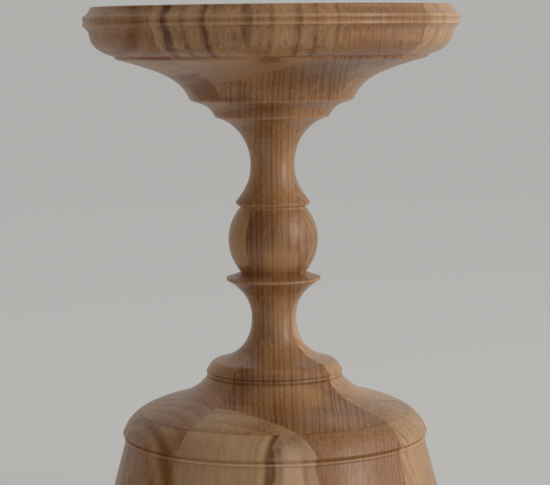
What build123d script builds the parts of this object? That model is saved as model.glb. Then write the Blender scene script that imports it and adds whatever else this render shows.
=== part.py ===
"""A turned pricket candle stand: a blank glued up from boards, turned to one outline, with a steel spike.

The frame is +Z up with the origin on the floor under the turning axis. Units are millimetres.
The glue planes through the axis are X = 0 and Y = 0, and every quarter of the stand is glued up alike,
turned a quarter of a circle on from the one before it.
"""

from build123d import *
import os

# Boards of the glued blank
BOARD_THICKNESS = 30.0
FACE_BLOCK_WIDTH = 27.5

# Foot and skirt
FOOT_RADIUS = 59.2
FOOT_ROUND = 0.8
FOOT_RING_WIDTH = 14.2
HOLLOW_DEPTH = 1.6
SKIRT_HEIGHT = 42.2

# Round lip on the skirt, the groove over it and the sharp ring edge over that
RING_RADIUS = 48.8
RING_RISE = 1.0
RING_OVERHANG = 0.9
RING_GROOVE_DEPTH = 0.95
RING_LIP_SETBACK = 0.45
RING_LIP_RISE = 1.3

# Ogee from the ring edge in to the collar, which carries the glue plane of the skirt layer
SKIRT_JOINT_ABOVE_RING = 6.7
SHOULDER_SETBACK = 2.9
SHOULDER_RISE = 7.0
SWEEP_LEAN = 3.2
SWEEP_RISE = 5.75
OGEE_TURN = 0.6
BASE_COVE_RISE = 4.95

# Collar, over a small bead that is sunk between two grooves
COLLAR_RADIUS = 21.8
COLLAR_GROOVE_DEPTH = 0.45
COLLAR_GROOVE_RISE = 0.25
COLLAR_BEAD_SETBACK = 0.15
COLLAR_BEAD_RISE = 1.4
COLLAR_SHOULDER_SETBACK = 1.8
COLLAR_SHOULDER_RISE = 3.1
COLLAR_TURN = 0.11

# Lower neck and the flange under the ball
LOWER_NECK_RADIUS = 7.06
LOWER_NECK_FLARE_RISE = 2.5
LOWER_NECK_RISE = 11.4
FLANGE_RADIUS = 15.0
FLANGE_FLARE_RISE = 7.9
FLANGE_RISE = 4.2
FLANGE_EDGE = 0.8
FLANGE_HOLLOW_WIDTH = 1.1
FLANGE_HOLLOW_RISE = 0.9

# Ball and the bead over it
BALL_RADIUS = 14.25
BALL_HEIGHT = 20.45
BALL_FOOT_SETBACK = 3.85
BALL_FOOT_RISE = 0.95
BALL_TOP_SETBACK = 3.75
BALL_FILLET_RISE = 0.6
BEAD_OVERHANG = 1.25
BEAD_RISE = 1.35
BEAD_BELLY = 0.95
BEAD_BELLY_RISE = 0.4

# Upper neck and its two stepped coves
UPPER_NECK_RADIUS = 7.0
BEAD_FLARE_RISE = 6.25
UPPER_NECK_RISE = 5.7
UPPER_FLARE_RISE = 12.7
UPPER_FLARE_TOP = 2.1
STEP_RISE = 0.3
LOW_STEP_RADIUS = 18.1
LOW_STEP_WIDTH = 0.2
LOW_COVE_LEAN = 1.8
LOW_COVE_CORNER_RISE = 3.6
LOW_COVE_RISE = 1.4
HIGH_STEP_RADIUS = 25.9
HIGH_STEP_WIDTH = 0.4
HIGH_COVE_LEAN = 3.4
HIGH_COVE_CORNER_RISE = 7.75
HIGH_COVE_RISE = 5.25

# Edge of the plate, from the quirk at its glue plane up to the band
BAND_RADIUS = 59.4
BAND_HEIGHT = 2.9
BAND_GROOVE_DEPTH = 0.3
BAND_GROOVE_HALF = 0.55
QUIRK_WIDTH = 0.7
QUIRK_RISE = 0.9
PLATE_OVOLO_SETBACK = 2.05
PLATE_OVOLO_WIDTH = 7.55
PLATE_OVOLO_LEAN = 0.45
PLATE_OVOLO_CORNER_RISE = 1.9
PLATE_OVOLO_RISE = 4.9
BAND_COVE_LEAN = 0.35
BAND_COVE_CORNER_RISE = 2.0
BAND_COVE_RISE = 0.7

# Lip of the plate and the dish inside it
LIP_SETBACK = 2.3
LIP_WIDTH = 4.5
LIP_RISE = 0.8
LIP_ROUND = 0.7
LIP_COVE_LEAN = 0.8
LIP_COVE_CORNER_RISE = 0.6
LIP_COVE_RISE = 1.7
DISH_DEPTH = 9.0
DISH_COVE_WIDTH = 4.8

# Dowels across the two glue planes
DOWEL_RADIUS = 8.0
DOWEL_CHAMFER = 0.8
GLUE_GAP = 0.1
DOWEL_END_GAP = 0.5
SKIRT_DOWEL_BELOW = 22.0
SKIRT_DOWEL_ABOVE = 13.0
PLATE_DOWEL_BELOW = 18.0

# Steel pricket, whose collar covers the plate's dowel
SPIKE_RADIUS = 2.0
SPIKE_STRAIGHT = 4.0
SPIKE_HEIGHT = 8.5
SPIKE_SWELL = 0.55
SPIKE_TIP_RADIUS = 0.25
SPIKE_COLLAR_BORDER = 2.0
SPIKE_COLLAR_THICKNESS = 1.2
SPIKE_COLLAR_CHAMFER = 0.3
SHANK_RADIUS = 2.0
SHANK_LENGTH = 20.0
SHANK_POINT = 3.0
SHANK_POINT_RADIUS = 0.6
SPIKE_COLLAR_RADIUS = DOWEL_RADIUS + SPIKE_COLLAR_BORDER

# How far a curve is drawn towards the corner where its end tangents meet
ROUND = 0.56
FULL = 0.65
SHARP = 0.8

QUARTERS = {"front_right": 0, "rear_right": 90, "rear_left": 180, "front_left": 270}


def point(radius, height):
    """A point of an outline, in the XZ plane."""
    return Vector(radius, 0, height)


class Outline:
    """Draws half a lathe outline as a pen that rises from moulding to moulding."""

    def __init__(self, radius, height):
        self.pen = point(radius, height)
        self.start = self.pen
        self.edges = []

    @property
    def height(self):
        return self.pen.Z

    def line(self, radius, rise=0.0):
        end = point(radius, self.height + rise)
        self.edges.append(Line(self.pen, end))
        self.pen = end

    def arc(self, middle_radius, middle_rise, radius, rise):
        end = point(radius, self.height + rise)
        self.edges.append(ThreePointArc(self.pen, point(middle_radius, self.height + middle_rise), end))
        self.pen = end

    def score(self, depth, half):
        """A V groove cut into an upright stretch, half of its rise on either side of its bottom."""
        radius = self.pen.X
        self.line(radius - depth, half)
        self.line(radius, half)

    def bend_to(self, corner, end, pull):
        """A curve that leaves towards a corner and arrives from it."""
        leave = self.pen + (corner - self.pen) * pull
        arrive = end + (corner - end) * pull
        self.edges.append(Bezier(self.pen, leave, arrive, end))
        self.pen = end

    def bend(self, corner_radius, corner_rise, radius, rise, pull):
        """A bend whose corner lies above the pen, and whose end lies above the corner."""
        corner = point(corner_radius, self.height + corner_rise)
        self.bend_to(corner, corner + point(radius - corner_radius, rise), pull)

    def ogee(self, first, second, end, turn, first_pull, second_pull):
        """Two bends of opposite hand that share a tangent between their corners."""
        self.bend_to(first, first + (second - first) * turn, first_pull)
        self.bend_to(second, end, second_pull)

    def solid(self):
        if (self.pen - self.start).length > 0:
            self.edges.append(Line(self.pen, self.start))
        return revolve(make_face(self.edges), Axis.Z)


def draw_skirt(outline):
    """Hollowed foot, straight flared skirt with its lip, and the ring edge over the groove."""
    foot_ring = FOOT_RADIUS - FOOT_RING_WIDTH
    skirt_top = RING_RADIUS - RING_OVERHANG
    lip = RING_RADIUS - RING_LIP_SETBACK
    flare = (FOOT_RADIUS - skirt_top) / SKIRT_HEIGHT
    outline.arc(foot_ring / 2, -HOLLOW_DEPTH / 4, foot_ring, -HOLLOW_DEPTH)
    outline.line(FOOT_RADIUS - FOOT_ROUND)
    outline.bend(FOOT_RADIUS, 0, FOOT_RADIUS - flare * FOOT_ROUND, FOOT_ROUND, ROUND)
    outline.line(skirt_top, SKIRT_HEIGHT - FOOT_ROUND)
    outline.arc(lip, RING_LIP_RISE / 2, RING_RADIUS - RING_GROOVE_DEPTH, RING_LIP_RISE)
    outline.line(RING_RADIUS, RING_RISE)


def draw_shoulder(outline):
    """Ogee from the ring edge in to the sunk bead under the collar."""
    groove = COLLAR_RADIUS - COLLAR_GROOVE_DEPTH
    bead = COLLAR_RADIUS - COLLAR_BEAD_SETBACK
    shoulder = point(RING_RADIUS - SHOULDER_SETBACK, outline.height + SHOULDER_RISE)
    sweep = point(COLLAR_RADIUS + SWEEP_LEAN, shoulder.Z + SWEEP_RISE)
    cove_end = point(COLLAR_RADIUS, sweep.Z + BASE_COVE_RISE)
    outline.ogee(shoulder, sweep, cove_end, OGEE_TURN, SHARP, FULL)
    outline.line(groove, COLLAR_GROOVE_RISE)
    outline.arc(bead, COLLAR_BEAD_RISE / 2, groove, COLLAR_BEAD_RISE)
    outline.line(COLLAR_RADIUS, COLLAR_GROOVE_RISE)


def draw_lower_neck(outline):
    """Round of the collar, the lower neck and the thin flange that carries the ball."""
    shoulder = point(COLLAR_RADIUS - COLLAR_SHOULDER_SETBACK, outline.height + COLLAR_SHOULDER_RISE)
    flare = point(LOWER_NECK_RADIUS, shoulder.Z + LOWER_NECK_FLARE_RISE)
    neck = point(LOWER_NECK_RADIUS, flare.Z + LOWER_NECK_RISE)
    outline.ogee(shoulder, flare, neck, COLLAR_TURN, SHARP, FULL)
    outline.bend(LOWER_NECK_RADIUS, FLANGE_FLARE_RISE, FLANGE_RADIUS, FLANGE_RISE, FULL)
    outline.line(FLANGE_RADIUS, FLANGE_EDGE)
    ball_foot = BALL_RADIUS - BALL_FOOT_SETBACK
    outline.bend(ball_foot + FLANGE_HOLLOW_WIDTH, FLANGE_HOLLOW_RISE, ball_foot, BALL_FOOT_RISE, ROUND)


def draw_ball(outline):
    """Ball, and the bead with a sharp upper edge that sits on it over a narrow fillet."""
    ball_top = BALL_RADIUS - BALL_TOP_SETBACK
    outline.arc(BALL_RADIUS, BALL_HEIGHT / 2, ball_top, BALL_HEIGHT)
    outline.line(ball_top, BALL_FILLET_RISE)
    outline.arc(ball_top + BEAD_BELLY, BEAD_BELLY_RISE, ball_top + BEAD_OVERHANG, BEAD_RISE)


def draw_upper_neck(outline):
    """Upper neck, flaring through two stepped coves to the quirk under the plate."""
    quirk = BAND_RADIUS - PLATE_OVOLO_SETBACK - PLATE_OVOLO_WIDTH
    flare_end = LOW_STEP_RADIUS - LOW_STEP_WIDTH
    low_corner = LOW_STEP_RADIUS + LOW_COVE_LEAN
    high_corner = HIGH_STEP_RADIUS + HIGH_COVE_LEAN
    outline.bend(UPPER_NECK_RADIUS, BEAD_FLARE_RISE, UPPER_NECK_RADIUS, UPPER_NECK_RISE, SHARP)
    outline.bend(UPPER_NECK_RADIUS, UPPER_FLARE_RISE, flare_end, UPPER_FLARE_TOP, ROUND)
    outline.line(LOW_STEP_RADIUS, STEP_RISE)
    outline.bend(low_corner, LOW_COVE_CORNER_RISE, HIGH_STEP_RADIUS - HIGH_STEP_WIDTH, LOW_COVE_RISE, SHARP)
    outline.line(HIGH_STEP_RADIUS, STEP_RISE)
    outline.bend(high_corner, HIGH_COVE_CORNER_RISE, quirk - QUIRK_WIDTH, HIGH_COVE_RISE, SHARP)
    outline.line(quirk, QUIRK_RISE)


def draw_plate(outline):
    """Moulded edge of the plate, its lip and the dish inside it."""
    ovolo = BAND_RADIUS - PLATE_OVOLO_SETBACK
    ovolo_corner = ovolo - PLATE_OVOLO_LEAN
    outline.bend(ovolo_corner, PLATE_OVOLO_CORNER_RISE, ovolo, PLATE_OVOLO_RISE, FULL)
    outline.bend(ovolo + BAND_COVE_LEAN, BAND_COVE_CORNER_RISE, BAND_RADIUS, BAND_COVE_RISE, ROUND)
    outline.line(BAND_RADIUS, BAND_HEIGHT / 2 - BAND_GROOVE_HALF)
    outline.score(BAND_GROOVE_DEPTH, BAND_GROOVE_HALF)
    outline.line(BAND_RADIUS, BAND_HEIGHT / 2 - BAND_GROOVE_HALF)
    lip = BAND_RADIUS - LIP_SETBACK
    lip_inner = lip - LIP_WIDTH
    outline.bend(lip + LIP_COVE_LEAN, LIP_COVE_CORNER_RISE, lip, LIP_COVE_RISE, ROUND)
    outline.bend(lip, LIP_RISE, lip - LIP_ROUND, 0, ROUND)
    outline.line(lip_inner)
    outline.bend(lip_inner, -DISH_DEPTH, lip_inner - DISH_COVE_WIDTH, 0, ROUND)
    outline.line(0)


def cylinder(radius, low, high):
    return Pos(0, 0, low) * Cylinder(radius, high - low, align=(Align.CENTER, Align.CENTER, Align.MIN))


def block(angle, x_range, y_range, low, high):
    """A squared block of the blank, drawn in the front right quarter and turned to its own quarter."""
    size = (x_range[1] - x_range[0], y_range[1] - y_range[0], high - low)
    drawn = Pos(x_range[0], y_range[0], low) * Box(*size, align=(Align.MIN, Align.MIN, Align.MIN))
    return Rot(0, 0, angle) * drawn


def dowel(low, high):
    """A turned dowel with chamfered ends."""
    outline = Outline(0, low)
    outline.line(DOWEL_RADIUS - DOWEL_CHAMFER)
    outline.line(DOWEL_RADIUS, DOWEL_CHAMFER)
    outline.line(DOWEL_RADIUS, high - low - 2 * DOWEL_CHAMFER)
    outline.line(DOWEL_RADIUS - DOWEL_CHAMFER, DOWEL_CHAMFER)
    outline.line(0)
    return outline.solid()


def pricket(floor):
    """Steel spike with a collar let in flush with the dish floor and a shank that bites into the dowel."""
    seat = floor - SPIKE_COLLAR_THICKNESS
    outline = Outline(0, seat - SHANK_LENGTH)
    outline.line(SHANK_POINT_RADIUS)
    outline.line(SHANK_RADIUS, SHANK_POINT)
    outline.line(SHANK_RADIUS, SHANK_LENGTH - SHANK_POINT)
    outline.line(SPIKE_COLLAR_RADIUS)
    outline.line(SPIKE_COLLAR_RADIUS, SPIKE_COLLAR_THICKNESS - SPIKE_COLLAR_CHAMFER)
    outline.line(SPIKE_COLLAR_RADIUS - SPIKE_COLLAR_CHAMFER, SPIKE_COLLAR_CHAMFER)
    outline.line(SPIKE_RADIUS)
    outline.line(SPIKE_RADIUS, SPIKE_STRAIGHT)
    taper = SPIKE_HEIGHT - SPIKE_STRAIGHT
    outline.bend(SPIKE_RADIUS, taper * SPIKE_SWELL, SPIKE_TIP_RADIUS, taper * (1 - SPIKE_SWELL), ROUND)
    outline.line(0)
    return outline.solid()


def layer_blocks(angle, reach, low, high):
    """One quarter of a thick layer: a board on edge, a block on its face and a block in the corner."""
    face = (-reach, -BOARD_THICKNESS)
    return {
        "board": block(angle, (0, reach), (-BOARD_THICKNESS, 0), low, high),
        "face_block": block(angle, (0, FACE_BLOCK_WIDTH), face, low, high),
        "corner_block": block(angle, (FACE_BLOCK_WIDTH, reach), face, low, high),
    }


def spindle_blocks(angle, reach, low, middle, high):
    """One quarter of the spindle: a full board, and a short cheek on its face at either end."""
    face = (-reach, -BOARD_THICKNESS)
    return {
        "board": block(angle, (0, reach), (-BOARD_THICKNESS, 0), low, high),
        "lower_cheek": block(angle, (0, reach), face, low, middle),
        "upper_cheek": block(angle, (0, reach), face, middle, high),
    }


def build():
    outline = Outline(0, HOLLOW_DEPTH)
    draw_skirt(outline)
    skirt_joint = outline.height + SKIRT_JOINT_ABOVE_RING
    draw_shoulder(outline)
    draw_lower_neck(outline)
    ball_foot = outline.height
    draw_ball(outline)
    draw_upper_neck(outline)
    plate_joint = outline.height
    draw_plate(outline)
    floor = outline.height
    top = floor + DISH_DEPTH

    seat = floor - SPIKE_COLLAR_THICKNESS
    skirt_dowel_span = (skirt_joint - SKIRT_DOWEL_BELOW, skirt_joint + SKIRT_DOWEL_ABOVE)
    plate_dowel_span = (plate_joint - PLATE_DOWEL_BELOW, seat - GLUE_GAP)
    turned = outline.solid()
    reach = turned.bounding_box().size.X
    for low, high in (skirt_dowel_span, plate_dowel_span):
        turned -= cylinder(DOWEL_RADIUS + GLUE_GAP, low - DOWEL_END_GAP, high + DOWEL_END_GAP)
    shank_hole = cylinder(SHANK_RADIUS + GLUE_GAP, seat - SHANK_LENGTH - DOWEL_END_GAP, floor)
    turned -= shank_hole
    turned -= cylinder(SPIKE_COLLAR_RADIUS + GLUE_GAP, seat, top)

    pieces = {
        "skirt_dowel": dowel(*skirt_dowel_span),
        "plate_dowel": dowel(*plate_dowel_span) - shank_hole,
        "pricket": pricket(floor),
    }
    for quarter, angle in QUARTERS.items():
        layers = {
            "skirt": layer_blocks(angle, reach, 0, skirt_joint),
            "spindle": spindle_blocks(angle, reach, skirt_joint, ball_foot, plate_joint),
            "plate": layer_blocks(angle, reach, plate_joint, top),
        }
        for layer, blocks in layers.items():
            for kind, squared in blocks.items():
                pieces[f"{layer}_{kind}_{quarter}"] = turned & squared
    return pieces


os.makedirs("parts", exist_ok=True)
for name, piece in build().items():
    export_step(piece, f"parts/{name}.step")
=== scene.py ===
"""Dresses the pricket candle stand: oiled ash in glued pieces, a steel spike, and a pale studio."""

import math
from dataclasses import dataclass

import bmesh
import bpy
from mathutils import Matrix, Vector


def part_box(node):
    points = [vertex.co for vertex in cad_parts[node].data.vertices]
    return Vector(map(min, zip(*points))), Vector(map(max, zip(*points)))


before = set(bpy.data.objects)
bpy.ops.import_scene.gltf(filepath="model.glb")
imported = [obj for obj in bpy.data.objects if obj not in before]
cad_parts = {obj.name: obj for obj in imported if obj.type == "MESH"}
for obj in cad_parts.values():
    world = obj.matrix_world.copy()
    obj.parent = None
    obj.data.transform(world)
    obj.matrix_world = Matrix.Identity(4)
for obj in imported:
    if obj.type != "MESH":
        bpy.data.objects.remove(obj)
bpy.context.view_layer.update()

MILLIMETRES = 1000.0

# Camera of the photograph, in metres, degrees and millimetres of lens
VIEW_AZIMUTH = 37.0
VIEW_DISTANCE = 0.6448
VIEW_HEIGHT = 0.1717
VIEW_SLIDE = 0.00057
VIEW_PITCH = 5.91
VIEW_ROLL = -0.55
LENS = 132.98
SENSOR_WIDTH = 36.0

# Floor, in metres, and the backdrop, which has the tone that the far floor takes in this light
FLOOR_RADIUS = 60.0
FLOOR_SIDES = 96
FLOOR_TONE = (0.84, 0.842, 0.84, 1.0)
FLOOR_ROUGHNESS = 0.9
BACKDROP_TONE = (0.439, 0.436, 0.424, 1.0)

# Room, which brightens to the right, and its glow behind the stand, which sets in between two cosines
ROOM_TONE = (1.0, 0.99, 0.965, 1.0)
ROOM_DIM = 0.10
ROOM_BRIGHT = 0.60
GLOW_LIGHT = 0.55
GLOW_FROM = 0.1
GLOW_TO = 0.5

# Lamps: soft daylight, a tall window and a reflector on the floor, in degrees, metres and watts
KEY_BEARING = 118.0
KEY_HEIGHT = 15.0
KEY_SPREAD = 60.0
KEY_STRENGTH = 0.7
KEY_TONE = (1.0, 0.985, 0.96)
WINDOW_BEARING = 98.0
WINDOW_DISTANCE = 1.2
WINDOW_WIDTH = 0.35
WINDOW_TALL = 0.9
WINDOW_WATTS = 4.2
REFLECTOR_BEARING = 125.0
REFLECTOR_DISTANCE = 0.55
REFLECTOR_LENGTH = 0.6
REFLECTOR_WIDTH = 0.25
REFLECTOR_RISE = 0.01
REFLECTOR_WATTS = 0.5

# Grain of the wood, in cycles per millimetre across and along the fibres
WARP_GRAIN = (0.03, 0.03, 0.006)
SLOW_GRAIN = (0.05, 0.05, 0.012)
PORE_GRAIN = (1.3, 1.3, 0.06)
FIBRE_GRAIN = (1.0, 1.0, 0.015)
CURL_GRAIN = (0.22, 0.22, 0.12)

# Noise: how many finer layers the fibres have, the weight of each, and the shift by a board's seed
FIBRE_DETAIL = 3.0
FIBRE_BREAK = 0.6
SEED_STEP = Vector((11.0, -7.0, 0.0))

# Rings: how fast and how far their widths change, and a streak's soft edge in half widths
RING_PACE = 0.45
RING_SHIFT = 3.0
STREAK_EDGE = 1.3

# Early wood: where in a ring the next sets in, how early it takes its own depth, and its mean
EARLY_START = 0.8
EARLY_LEAD = 0.1
EARLY_MEAN = 0.35

# Pores: the noise that counts as one, and how many there are in early wood and everywhere
PORE_DETAIL = 1.0
PORE_FROM = 0.56
PORE_TO = 0.70
PORES_EARLY = 0.8
PORES_ANY = 0.2

# Oiled surface: what pores and fibres do to its tone, gloss and height, with the bump in metres
SPECULAR = 0.4
ROUGHNESS = 0.33
PORE_SHADE = 0.3
PORE_DULLING = 0.25
FIBRE_DULLING = 0.15
FIBRE_HEIGHT = 0.3
WOOD_BUMP = 0.25
WOOD_BUMP_DEPTH = 0.00015

# Steel of the spike: turning marks in cycles per metre, and clouds drawn out of the same noise
STEEL_MARKS = (200.0, 200.0, 9000.0)
STEEL_CLOUDS = (1.0, 1.0, 0.02)
STEEL_BRIGHT = (0.62, 0.61, 0.59, 1)
STEEL_DULL = (0.42, 0.41, 0.40, 1)
STEEL_ROUGHNESS = 0.2
STEEL_DULLING = 0.3
STEEL_BUMP = 0.2
STEEL_BUMP_DEPTH = 0.00005


def bearing_vector(bearing):
    """Unit vector from the turning axis towards a bearing round the stand, in degrees."""
    turn = math.radians(bearing)
    return Vector((math.sin(turn), -math.cos(turn), 0.0))


@dataclass
class Streak:
    """A dark band that keeps to one ring, through a point of the surface. Lengths are in millimetres."""

    through: tuple
    half: float
    depth: float


@dataclass
class Mark:
    """A soft spot of darker tone, or of lighter tone where its depth is negative, in millimetres.
    Most are the wood's own tone; some are painted shade and some a painted highlight.

    flat is the share of its reach that has the full depth.
    """

    place: tuple
    reach: tuple
    depth: float
    flat: float = 0.3


@dataclass
class Wood:
    """One board: where its pith stood, seen from the turning axis, and how its rings look.

    Lengths are in millimetres. The pith stands at a bearing and a distance, and leans by so much for each
    millimetre of height. tone is the mean way from the light colour to the dark one, and share the part of
    a ring that its dark early wood takes up. contrast, drift, fibre and curl are how much the rings, the
    slow clouds, the fibres and the curly figure change the tone. uneven is how much rings differ, wave how
    far they wander, and glue how dark the level joints are.
    """

    bearing: float
    spacing: float
    light: tuple
    dark: tuple
    seed: float
    tone: float = 0.45
    distance: float = 250.0
    lean: tuple = (0.0, 0.0)
    share: float = 0.6
    contrast: float = 0.3
    uneven: float = 0.5
    wave: float = 2.0
    drift: float = 1.0
    fibre: float = 1.2
    pores: float = 0.5
    curl: float = 0.0
    glue: float = 0.15
    streaks: tuple = ()
    marks: tuple = ()

    @property
    def pith(self):
        return bearing_vector(self.bearing) * self.distance

    def ring_radius(self, point):
        """Distance of a point from the leaning pith."""
        x, y, height = point
        pith = self.pith
        return math.hypot(x - pith.x - self.lean[0] * height, y - pith.y - self.lean[1] * height)


# Colours of the late and the early wood
CORE = {"light": (0.395, 0.202, 0.086, 1), "dark": (0.165, 0.055, 0.013, 1)}
BROWN = {"light": (0.455, 0.230, 0.090, 1), "dark": (0.205, 0.064, 0.008, 1)}
TAN = {"light": (0.450, 0.240, 0.110, 1), "dark": (0.23, 0.095, 0.030, 1)}
PALE = {"light": (0.530, 0.325, 0.170, 1), "dark": (0.27, 0.128, 0.048, 1)}
SAP = {"light": (0.555, 0.345, 0.185, 1), "dark": (0.29, 0.140, 0.054, 1)}
STREAKED = {"light": (0.490, 0.268, 0.127, 1), "dark": (0.125, 0.040, 0.008, 1)}
ARCHED = {"light": (0.560, 0.355, 0.210, 1), "dark": (0.150, 0.060, 0.016, 1)}
PALE_STREAKED = {"light": PALE["light"], "dark": ARCHED["dark"]}

# Timber that several pieces were sawn from
QUARTERED = {"bearing": 127, "distance": 1000, **CORE}
CHEEK_TIMBER = {"bearing": 10, "spacing": 4.5}
LEFT_TIMBER = {"bearing": -75, "spacing": 3.4, **BROWN}
REAR_TIMBER = {"bearing": -160, "spacing": 3.5, **PALE}
CORNER_TIMBER = {"bearing": 120, "spacing": 3.0, **PALE}
RIGHT_CHEEK_TIMBER = {"bearing": 100, "spacing": 3.0, **SAP}
RIGHT_TIMBER = {"bearing": 60, **SAP}
DARK_TIMBER = {"bearing": -55, **CORE}
DOWEL_TIMBER = {"bearing": 0, "spacing": 2.0, "distance": 60, **SAP}

# The corner block of the skirt was sawn beside a pith that runs down just outside its surface
ARCHED_TIMBER = {"bearing": 43.1, "distance": 54.1, "lean": (-0.078, 0.083), "spacing": 3.0, **ARCHED}
ARCH_SHADES = (
    Mark((27.4, -39.2, 38.0), (2.6, 2.6, 14.0), 0.7, flat=0.5),  # band along the left seam
    Mark((27.8, -37.4, 48.0), (4.0, 4.0, 6.0), 0.45),  # its bend above the ring edge
    Mark((31.0, -32.5, 50.5), (6.0, 6.0, 4.0), 0.3),  # top of the arch
    Mark((29.6, -37.8, 40.0), (2.2, 2.2, 12.0), 0.25),  # brown beside the band
    Mark((33.4, -35.2, 38.0), (4.0, 4.0, 12.0), -0.3, flat=0.5),  # pale heart
    Mark((35.6, -32.5, 38.0), (1.2, 1.2, 12.0), 0.2),  # line right of the heart
)
# Marks on the core boards: most are the wood's own tone; some are painted shade and some painted highlight,
# as noted
CORE_TONE_AND_PAINTED_LIGHT = (
    # Painted shade under the plate's edge
    Mark((35, -20, 161), (22, 16, 7), 0.25),  # under the plate's edge
    Mark((3.7, -27.8, 154.5), (7, 4, 3.2), -0.45, flat=0.6),  # pale tip below the upper cheek
    # Painted highlight on the right of the stem, with somewhat more golden wood
    Mark((6, -3, 127), (10, 10, 18), -0.32),  # right of the stem
    # Darker wood at the front of the ball, with painted shade on its upper half
    Mark((3, -13, 110), (10, 8, 9), 0.42),  # front of the ball
    # Painted highlight on the lower right of the ball, with somewhat more golden wood
    Mark((10, -9, 100), (8, 8, 6), -0.5),  # lower right of the ball
    # Painted highlight on the neck, with somewhat more golden wood
    Mark((5, -4, 84), (9, 9, 10), -0.3),  # neck
    Mark((13, -17, 64.5), (14, 14, 2.5), 0.3),  # front of the collar
    # Painted sheen on the shoulder, partly lighter wood
    Mark((24.6, -11, 60), (8, 8, 5), -0.5),  # shoulder, right of the collar
)
LEFT_SHADES = (
    Mark((-6, -29, 155.5), (15, 12, 8), 0.5),  # under the plate
    Mark((-5, -4, 128), (12, 12, 14), -0.4),  # left of the stem
    Mark((-8, -11, 107), (14, 14, 12), -0.5, flat=0.7),  # left of the ball
    Mark((-5, -4, 82), (12, 12, 10), -0.25),  # neck
    Mark((-16, -12, 65), (16, 16, 7), -0.35),  # collar
)
STEM_SHADE = Mark((8, 3, 133), (80, 80, 60), 0.35, flat=0.8)
KNOT_BY_QUIRK = Mark((29.4, -39.7, 163.2), (5.5, 5.5, 3.5), 0.7, flat=0.1)
FLECK_UNDER_PLATE = Mark((13.1, -35.0, 159.7), (1.6, 1.6, 0.4), 0.4)
FLECK_ON_SHOULDER = Mark((18.6, -38.7, 51.5), (1.6, 1.6, 0.7), 0.4)
LIGHT_BY_SEAM = Mark((-0.8, -48.6, 38.0), (2.4, 2.4, 14.0), -0.5)
KNOT_ON_SKIRT = Mark((-34.5, -37.5, 31.0), (3.0, 3.0, 1.8), 0.5)

SPINDLE_WOODS = {
    "spindle_board_front_right": Wood(
        **QUARTERED, spacing=1.7, seed=0.4, tone=0.47, contrast=0.5, drift=1.8, wave=2.4, marks=CORE_TONE_AND_PAINTED_LIGHT
    ),
    "spindle_board_front_left": Wood(
        -20, 5.0, **BROWN, seed=1.3, tone=0.5, share=0.8, wave=5.0, glue=0.5, marks=LEFT_SHADES
    ),
    "spindle_board_rear_right": Wood(
        **RIGHT_TIMBER, spacing=3.0, seed=2.1, tone=0.5, contrast=0.55, drift=1.2, marks=(STEM_SHADE,)
    ),
    "spindle_board_rear_left": Wood(**DARK_TIMBER, spacing=3.0, seed=3.4),
    "spindle_upper_cheek_front_right": Wood(
        **CHEEK_TIMBER, **TAN, seed=4.2, tone=0.4, contrast=0.1, drift=0.7, fibre=0.7,
        marks=(KNOT_BY_QUIRK, FLECK_UNDER_PLATE),
    ),
    "spindle_upper_cheek_front_left": Wood(**LEFT_TIMBER, seed=5.1),
    "spindle_upper_cheek_rear_right": Wood(**RIGHT_CHEEK_TIMBER, seed=6.6, tone=0.8),
    "spindle_upper_cheek_rear_left": Wood(**REAR_TIMBER, seed=7.7),
    "spindle_lower_cheek_front_right": Wood(
        **CHEEK_TIMBER, **PALE, seed=8.5, tone=0.6, contrast=0.25, drift=1.4, fibre=1.3,
        marks=(FLECK_ON_SHOULDER,),
    ),
    "spindle_lower_cheek_front_left": Wood(**LEFT_TIMBER, seed=9.3),
    "spindle_lower_cheek_rear_right": Wood(**RIGHT_CHEEK_TIMBER, seed=10.4, tone=0.63, contrast=0.15),
    "spindle_lower_cheek_rear_left": Wood(**REAR_TIMBER, seed=11.2),
}

SKIRT_WOODS = {
    "skirt_board_front_right": Wood(**QUARTERED, spacing=1.3, seed=12.9, contrast=0.22, wave=1.2, drift=0.4),
    "skirt_board_front_left": Wood(
        -28, 6.0, **BROWN, seed=13.8, tone=0.5, glue=0.5, marks=(KNOT_ON_SKIRT, LIGHT_BY_SEAM),
        streaks=(Streak((-13.1, -47.2, 38), 1.3, 0.35), Streak((-5.2, -48.4, 39.2), 1.6, 0.35)),
    ),
    "skirt_board_rear_right": Wood(**RIGHT_TIMBER, spacing=2.6, seed=14.1),
    "skirt_board_rear_left": Wood(**DARK_TIMBER, spacing=2.8, seed=15.0),
    "skirt_face_block_front_right": Wood(
        90, 4.5, **PALE_STREAKED, seed=16.2, tone=0.08, contrast=0.1, fibre=0.5,
        streaks=(
            Streak((2.2, -48.4, 40.1), 2.0, 0.14),
            Streak((13.3, -46.3, 41), 1.0, 0.12),
            Streak((23.8, -41.7, 41.6), 1.0, 0.22),
            Streak((27.2, -39.6, 41.6), 1.6, 0.85),
        ),
    ),
    "skirt_face_block_front_left": Wood(**LEFT_TIMBER, seed=17.9),
    "skirt_face_block_rear_right": Wood(**RIGHT_TIMBER, spacing=2.2, seed=18.7, tone=0.5),
    "skirt_face_block_rear_left": Wood(**REAR_TIMBER, seed=19.5),
    "skirt_corner_block_front_right": Wood(
        **ARCHED_TIMBER, seed=20.3, tone=0.26, contrast=0.06, wave=0.6, drift=0.7, fibre=0.6, pores=0.15,
        glue=0.0, marks=ARCH_SHADES,
    ),
    "skirt_corner_block_front_left": Wood(**LEFT_TIMBER, seed=21.1),
    "skirt_corner_block_rear_right": Wood(**CORNER_TIMBER, seed=22.6),
    "skirt_corner_block_rear_left": Wood(**REAR_TIMBER, seed=23.4),
    "skirt_dowel": Wood(**DOWEL_TIMBER, seed=36.5),
}

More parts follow.
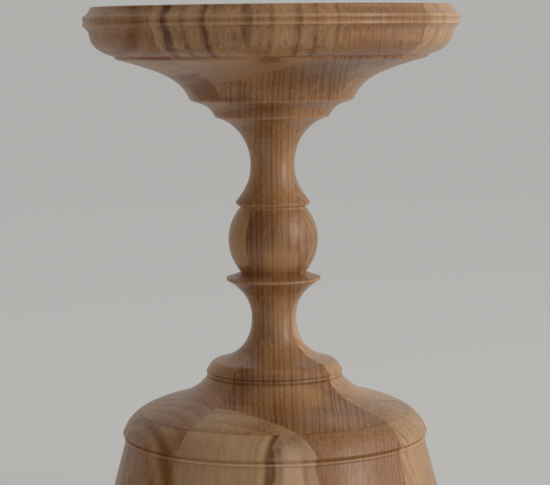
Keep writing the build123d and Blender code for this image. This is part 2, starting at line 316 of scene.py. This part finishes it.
PLATE_WOODS = {
    "plate_board_front_right": Wood(**QUARTERED, spacing=1.3, seed=24.8, tone=0.42, wave=1.2, drift=0.7),
    "plate_board_front_left": Wood(
        -30, 7.0, **BROWN, seed=25.7, tone=0.6, wave=4.0, glue=0.5,
        streaks=(Streak((-9.4, -56.3, 170), 1.6, 0.3),),
    ),
    "plate_board_rear_right": Wood(**RIGHT_TIMBER, spacing=2.6, seed=26.9),
    "plate_board_rear_left": Wood(**DARK_TIMBER, spacing=2.8, seed=27.5),
    "plate_face_block_front_right": Wood(
        90, 7.0, **STREAKED, seed=28.3, tone=0.34, contrast=0.1, curl=0.7,
        streaks=(
            Streak((5.4, -59.1, 174.1), 2.2, 0.7),
            Streak((11.5, -58.0, 174.0), 1.3, 0.3),
            Streak((17.6, -56.7, 174.0), 1.6, 0.65),
        ),
    ),
    "plate_face_block_front_left": Wood(**LEFT_TIMBER, seed=29.6),
    "plate_face_block_rear_right": Wood(**RIGHT_TIMBER, spacing=2.6, seed=30.4, contrast=0.4),
    "plate_face_block_rear_left": Wood(**REAR_TIMBER, seed=31.2),
    "plate_corner_block_front_right": Wood(
        127, 7.5, **STREAKED, seed=32.8, tone=0.36, contrast=0.1,
        streaks=(
            Streak((30.0, -51.2, 173.8), 1.7, 0.5),
            Streak((36.0, -47.2, 173.8), 1.3, 0.3),
            Streak((42.0, -41.9, 173.7), 1.1, 0.35),
            Streak((45.4, -38.2, 173.6), 1.3, 0.25),
            Streak((49.3, -32.8, 173.6), 1.0, 0.35),
        ),
    ),
    "plate_corner_block_front_left": Wood(**LEFT_TIMBER, seed=33.1),
    "plate_corner_block_rear_right": Wood(**CORNER_TIMBER, seed=34.7),
    "plate_corner_block_rear_left": Wood(**REAR_TIMBER, seed=35.9),
    "plate_dowel": Wood(**DOWEL_TIMBER, seed=37.2),
}

# Marks all round, in millimetres: glue at the level joints, edges made lighter, partly as wear and partly as
# a painted highlight, and painted shade in the quirks
ALL_ROUND = 1000.0
GLUE_HALF = 0.4
WEAR_AND_HIGHLIGHT_HALF = 0.6
WEAR_AND_HIGHLIGHT_DEPTH = -0.35
# Edges made pale: in part wear, in part a painted highlight where light catches them
WEAR_AND_HIGHLIGHT_EDGES = {
    "ring_lip": 42.9,
    "flange": 93.5,
    "fillet_over_ball": 116.4,
    "bead": 117.3,
    "low_step": 145.2,
    "high_step": 150.5,
    "band_foot": 174.3,
    "band_top": 176.6,
}
# Painted shade in the quirks over the flange and under the bead, where they lie in shadow
QUIRK_SHADE_HALF = 0.7
QUIRK_SHADE_DEPTH = 0.15
SHADED_QUIRKS = {"over_flange": 95.2, "under_bead": 116.8}


class Nodes:
    """Adds nodes to a tree and gives back their output sockets."""

    def __init__(self, tree):
        self.tree = tree

    def feed(self, socket, value):
        if isinstance(value, bpy.types.NodeSocket):
            self.tree.links.new(value, socket)
        else:
            socket.default_value = value

    def add(self, kind, inputs=(), **settings):
        node = self.tree.nodes.new(kind)
        for name, value in settings.items():
            setattr(node, name, value)
        for key, value in dict(inputs).items():
            self.feed(node.inputs[key], value)
        return node

    def through(self, node, values):
        """Feeds the inputs that a node has in use, in their order, and gives back its output in use."""
        taken = [socket for socket in node.inputs if socket.enabled]
        for socket, value in zip(taken, values):
            self.feed(socket, value)
        return next(socket for socket in node.outputs if socket.enabled)

    def math(self, operation, *values):
        return self.add("ShaderNodeMath", enumerate(values), operation=operation).outputs[0]

    def vector(self, operation, *values):
        return self.through(self.add("ShaderNodeVectorMath", operation=operation), values)

    def mix(self, factor, first, second):
        node = self.add("ShaderNodeMix", data_type="RGBA", clamp_factor=True)
        return self.through(node, (factor, first, second))

    def step(self, value, low, high):
        """Rises smoothly from 0 at low to 1 at high."""
        inputs = {"Value": value, "From Min": low, "From Max": high}
        return self.add("ShaderNodeMapRange", inputs, interpolation_type="SMOOTHSTEP").outputs["Result"]

    def noise(self, vector, detail=2.0, roughness=0.5):
        inputs = {"Vector": vector, "Scale": 1.0, "Detail": detail, "Roughness": roughness}
        return self.add("ShaderNodeTexNoise", inputs)

    def bump(self, height, strength, distance):
        inputs = {"Strength": strength, "Distance": distance, "Height": height}
        return self.add("ShaderNodeBump", inputs).outputs[0]


class WoodNodes(Nodes):
    """The figure of one board, worked out from the place in the stand, in millimetres."""

    def __init__(self, tree, wood):
        super().__init__(tree)
        self.wood = wood
        self.place = self.vector("SCALE", self.add("ShaderNodeTexCoord").outputs["Object"], MILLIMETRES)

    def grained(self, grain):
        """The place, drawn out along the fibres and shifted so that no two boards look alike."""
        return self.vector("ADD", self.vector("MULTIPLY", self.place, grain), SEED_STEP * self.wood.seed)

    def centred(self, grain, detail=2.0, roughness=0.5):
        """Noise about 0."""
        return self.math("SUBTRACT", self.noise(self.grained(grain), detail, roughness).outputs[0], 0.5)

    def ring_radius(self):
        """Distance from the pith, which may lean, along rings that wander a little."""
        wood = self.wood
        colour = self.noise(self.grained(WARP_GRAIN)).outputs["Color"]
        warp = self.vector("SCALE", self.vector("SUBTRACT", colour, (0.5, 0.5, 0.5)), wood.wave)
        height = self.add("ShaderNodeSeparateXYZ", {0: self.place}).outputs["Z"]
        lean = self.vector("SCALE", (*wood.lean, 0.0), height)
        across = self.vector("SUBTRACT", self.vector("SUBTRACT", self.place, wood.pith), lean)
        across = self.vector("MULTIPLY", self.vector("ADD", across, warp), (1.0, 1.0, 0.0))
        return self.vector("LENGTH", across)

    def early_wood(self, radius):
        """The dark early wood of each ring, uneven in width and depth from ring to ring."""
        wood = self.wood
        count = self.math("DIVIDE", radius, wood.spacing)
        inputs = {"W": self.math("MULTIPLY_ADD", count, RING_PACE, wood.seed), "Scale": 1.0, "Detail": 1.0}
        pace = self.add("ShaderNodeTexNoise", inputs, noise_dimensions="1D").outputs[0]
        count = self.math("MULTIPLY_ADD", pace, RING_SHIFT * wood.uneven, count)
        part = self.math("FRACT", count)
        fall = self.math("SUBTRACT", 1.0, self.step(part, 0.0, wood.share))
        early = self.math("MAXIMUM", self.step(part, EARLY_START, 1.0), fall)
        ring = self.math("FLOOR", self.math("ADD", count, EARLY_LEAD))
        inputs = {"W": self.math("ADD", ring, wood.seed)}
        luck = self.add("ShaderNodeTexWhiteNoise", inputs, noise_dimensions="1D").outputs["Value"]
        depth = self.math("SUBTRACT", 1.0, self.math("MULTIPLY", luck, wood.uneven))
        return self.math("MULTIPLY", early, depth)

    def pores(self, early):
        """Open pores, most of them in the early wood."""
        share = self.wood.pores
        pore = self.step(self.noise(self.grained(PORE_GRAIN), PORE_DETAIL).outputs[0], PORE_FROM, PORE_TO)
        often = self.math("MULTIPLY_ADD", early, PORES_EARLY * share, PORES_ANY * share)
        return self.math("MULTIPLY", pore, often)

    def streak(self, streak, radius):
        off = self.math("ABSOLUTE", self.math("SUBTRACT", radius, self.wood.ring_radius(streak.through)))
        near = self.math("SUBTRACT", 1.0, self.step(off, 0.0, STREAK_EDGE * streak.half))
        return self.math("MULTIPLY", near, streak.depth)

    def mark(self, mark):
        off = self.vector("DIVIDE", self.vector("SUBTRACT", self.place, mark.place), mark.reach)
        near = self.math("SUBTRACT", 1.0, self.step(self.vector("LENGTH", off), mark.flat, 1.0))
        return self.math("MULTIPLY", near, mark.depth)

    def figure(self):
        """Colour, roughness and height of the surface."""
        wood = self.wood
        radius = self.ring_radius()
        early = self.early_wood(radius)
        pore = self.pores(early)
        fibre = self.centred(FIBRE_GRAIN, FIBRE_DETAIL, FIBRE_BREAK)

        shade = self.math("MULTIPLY_ADD", early, wood.contrast, wood.tone - EARLY_MEAN * wood.contrast)
        shade = self.math("MULTIPLY_ADD", self.centred(SLOW_GRAIN), wood.drift, shade)
        shade = self.math("MULTIPLY_ADD", fibre, wood.fibre, shade)
        shade = self.math("MULTIPLY_ADD", pore, PORE_SHADE, shade)
        if wood.curl:
            shade = self.math("MULTIPLY_ADD", self.centred(CURL_GRAIN), wood.curl, shade)
        for streak in wood.streaks:
            shade = self.math("ADD", shade, self.streak(streak, radius))
        for mark in wood.marks:
            shade = self.math("ADD", shade, self.mark(mark))

        colour = self.mix(shade, wood.light, wood.dark)
        rough = self.math("MULTIPLY_ADD", fibre, FIBRE_DULLING, ROUGHNESS)
        rough = self.math("MULTIPLY_ADD", pore, PORE_DULLING, rough)
        height = self.math("SUBTRACT", self.math("MULTIPLY", fibre, FIBRE_HEIGHT), pore)
        return colour, rough, height


def new_material(name):
    """A material with nodes, and its shader."""
    material = bpy.data.materials.new(name)
    material.use_nodes = True
    return material, material.node_tree.nodes["Principled BSDF"]


def wood_material(name, wood):
    material, shader = new_material(name)
    shader.inputs["Specular IOR Level"].default_value = SPECULAR
    nodes = WoodNodes(material.node_tree, wood)
    colour, rough, height = nodes.figure()
    nodes.feed(shader.inputs["Base Color"], colour)
    nodes.feed(shader.inputs["Roughness"], rough)
    nodes.feed(shader.inputs["Normal"], nodes.bump(height, WOOD_BUMP, WOOD_BUMP_DEPTH))
    return material


def steel_material():
    """Bright steel with fine turning marks and a faint dulling."""
    material, shader = new_material("turned_steel")
    shader.inputs["Metallic"].default_value = 1.0
    nodes = Nodes(material.node_tree)
    place = nodes.vector("MULTIPLY", nodes.add("ShaderNodeTexCoord").outputs["Object"], STEEL_MARKS)
    marks = nodes.noise(place).outputs[0]
    cloud = nodes.noise(nodes.vector("MULTIPLY", place, STEEL_CLOUDS)).outputs[0]
    nodes.feed(shader.inputs["Base Color"], nodes.mix(cloud, STEEL_BRIGHT, STEEL_DULL))
    nodes.feed(shader.inputs["Roughness"], nodes.math("MULTIPLY_ADD", marks, STEEL_DULLING, STEEL_ROUGHNESS))
    nodes.feed(shader.inputs["Normal"], nodes.bump(marks, STEEL_BUMP, STEEL_BUMP_DEPTH))
    return material


def dress(node, material):
    """Puts one material on every slot of a CAD node."""
    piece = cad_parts[node]
    if not piece.material_slots:
        piece.data.materials.append(material)
    for slot in piece.material_slots:
        slot.material = material


def ring_mark(height, half, depth):
    """A mark that goes all round the stand at one height."""
    return Mark((0, 0, height), (ALL_ROUND, ALL_ROUND, half), depth)


def level_marks(node, glue):
    """The glue lines, the edges made pale as wear and painted highlight, and the painted shade in quirks at
    the heights that a node takes in.
    """
    low, high = (corner[2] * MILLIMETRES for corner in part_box(node))
    skirt_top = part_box("skirt_board_front_right")[1][2] * MILLIMETRES
    plate_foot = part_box("plate_board_front_right")[0][2] * MILLIMETRES
    marks = [ring_mark(height, GLUE_HALF, glue) for height in (skirt_top, plate_foot)]
    marks += [ring_mark(height, WEAR_AND_HIGHLIGHT_HALF, WEAR_AND_HIGHLIGHT_DEPTH) for height in WEAR_AND_HIGHLIGHT_EDGES.values()]
    marks += [ring_mark(height, QUIRK_SHADE_HALF, QUIRK_SHADE_DEPTH) for height in SHADED_QUIRKS.values()]
    return tuple(mark for mark in marks if low - GLUE_HALF < mark.place[2] < high + GLUE_HALF)


def link(thing):
    bpy.context.scene.collection.objects.link(thing)


def add_floor():
    mesh = bpy.data.meshes.new("floor")
    shape = bmesh.new()
    bmesh.ops.create_circle(shape, cap_ends=True, radius=FLOOR_RADIUS, segments=FLOOR_SIDES)
    shape.to_mesh(mesh)
    shape.free()
    floor = bpy.data.objects.new("floor", mesh)
    link(floor)
    material, shader = new_material("floor")
    shader.inputs["Base Color"].default_value = FLOOR_TONE
    shader.inputs["Roughness"].default_value = FLOOR_ROUGHNESS
    shader.inputs["Specular IOR Level"].default_value = 0.0
    mesh.materials.append(material)


def add_world():
    """A room that brightens towards the daylight and glows behind the stand, seen as a plain backdrop."""
    world = bpy.data.worlds.new("studio")
    world.use_nodes = True
    bpy.context.scene.world = world
    nodes = Nodes(world.node_tree)
    seen = nodes.add("ShaderNodeLightPath").outputs["Is Camera Ray"]
    ahead = nodes.add("ShaderNodeTexCoord").outputs["Generated"]
    lift = math.radians(KEY_HEIGHT)
    daylight = bearing_vector(KEY_BEARING) * math.cos(lift) + Vector((0, 0, math.sin(lift)))
    inputs = {
        "Value": nodes.vector("DOT_PRODUCT", ahead, daylight),
        "From Min": -1.0,
        "From Max": 1.0,
        "To Min": ROOM_DIM,
        "To Max": ROOM_BRIGHT,
    }
    sides = nodes.add("ShaderNodeMapRange", inputs).outputs["Result"]
    away = nodes.vector("DOT_PRODUCT", ahead, bearing_vector(VIEW_AZIMUTH + 180))
    glow = nodes.step(away, GLOW_FROM, GLOW_TO)
    light = nodes.math("MULTIPLY_ADD", glow, nodes.math("SUBTRACT", GLOW_LIGHT, sides), sides)
    room = world.node_tree.nodes["Background"]
    nodes.feed(room.inputs["Color"], ROOM_TONE)
    nodes.feed(room.inputs["Strength"], light)
    backdrop = nodes.add("ShaderNodeBackground", {"Color": BACKDROP_TONE, "Strength": 1.0})
    mixed = nodes.add("ShaderNodeMixShader", {0: seen, 1: room.outputs[0], 2: backdrop.outputs[0]})
    nodes.feed(world.node_tree.nodes["World Output"].inputs["Surface"], mixed.outputs[0])


def add_lamp(name, kind, energy, tilt, bearing, place=(0, 0, 0)):
    """A lamp that the camera doesn't see, tilted up from straight down and then turned, in degrees."""
    data = bpy.data.lights.new(name, kind)
    data.energy = energy
    data.color = KEY_TONE
    lamp = bpy.data.objects.new(name, data)
    lamp.location = place
    lamp.rotation_euler = (math.radians(tilt), 0.0, math.radians(bearing))
    lamp.visible_camera = False
    link(lamp)
    return data


def shape_panel(data, width, height):
    data.shape = "RECTANGLE"
    data.size = width
    data.size_y = height


def add_daylight():
    """The broad soft light from the window's side of the room."""
    data = add_lamp("daylight", "SUN", KEY_STRENGTH, 90 - KEY_HEIGHT, KEY_BEARING)
    data.angle = math.radians(KEY_SPREAD)


def add_window():
    """The tall window itself, which shows in the gloss of the wood."""
    place = bearing_vector(WINDOW_BEARING) * WINDOW_DISTANCE + Vector((0, 0, WINDOW_TALL / 2))
    data = add_lamp("window", "AREA", WINDOW_WATTS, 90, WINDOW_BEARING, place)
    shape_panel(data, WINDOW_WIDTH, WINDOW_TALL)


def add_reflector():
    """A bright board that lies on the floor by the window and throws light up under the mouldings."""
    place = bearing_vector(REFLECTOR_BEARING) * REFLECTOR_DISTANCE + Vector((0, 0, REFLECTOR_RISE))
    data = add_lamp("reflector", "AREA", REFLECTOR_WATTS, 180, REFLECTOR_BEARING - 90, place)
    shape_panel(data, REFLECTOR_LENGTH, REFLECTOR_WIDTH)


def add_camera():
    data = bpy.data.cameras.new("camera")
    data.lens = LENS
    data.sensor_width = SENSOR_WIDTH
    data.sensor_fit = "HORIZONTAL"
    camera = bpy.data.objects.new("camera", data)
    turn = Matrix.Rotation(math.radians(VIEW_AZIMUTH), 4, "Z")
    place = turn @ Vector((VIEW_SLIDE, -VIEW_DISTANCE, VIEW_HEIGHT))
    pitch = Matrix.Rotation(math.radians(90 - VIEW_PITCH), 4, "X")
    roll = Matrix.Rotation(math.radians(VIEW_ROLL), 4, "Z")
    camera.matrix_world = Matrix.Translation(place) @ turn @ pitch @ roll
    link(camera)
    bpy.context.scene.camera = camera


for woods in (SPINDLE_WOODS, SKIRT_WOODS, PLATE_WOODS):
    for node, wood in woods.items():
        wood.marks += level_marks(node, wood.glue)
        dress(node, wood_material(node, wood))
dress("pricket", steel_material())

add_floor()
add_world()
add_daylight()
add_window()
add_reflector()
add_camera()
bpy.context.scene.view_settings.view_transform = "Standard"
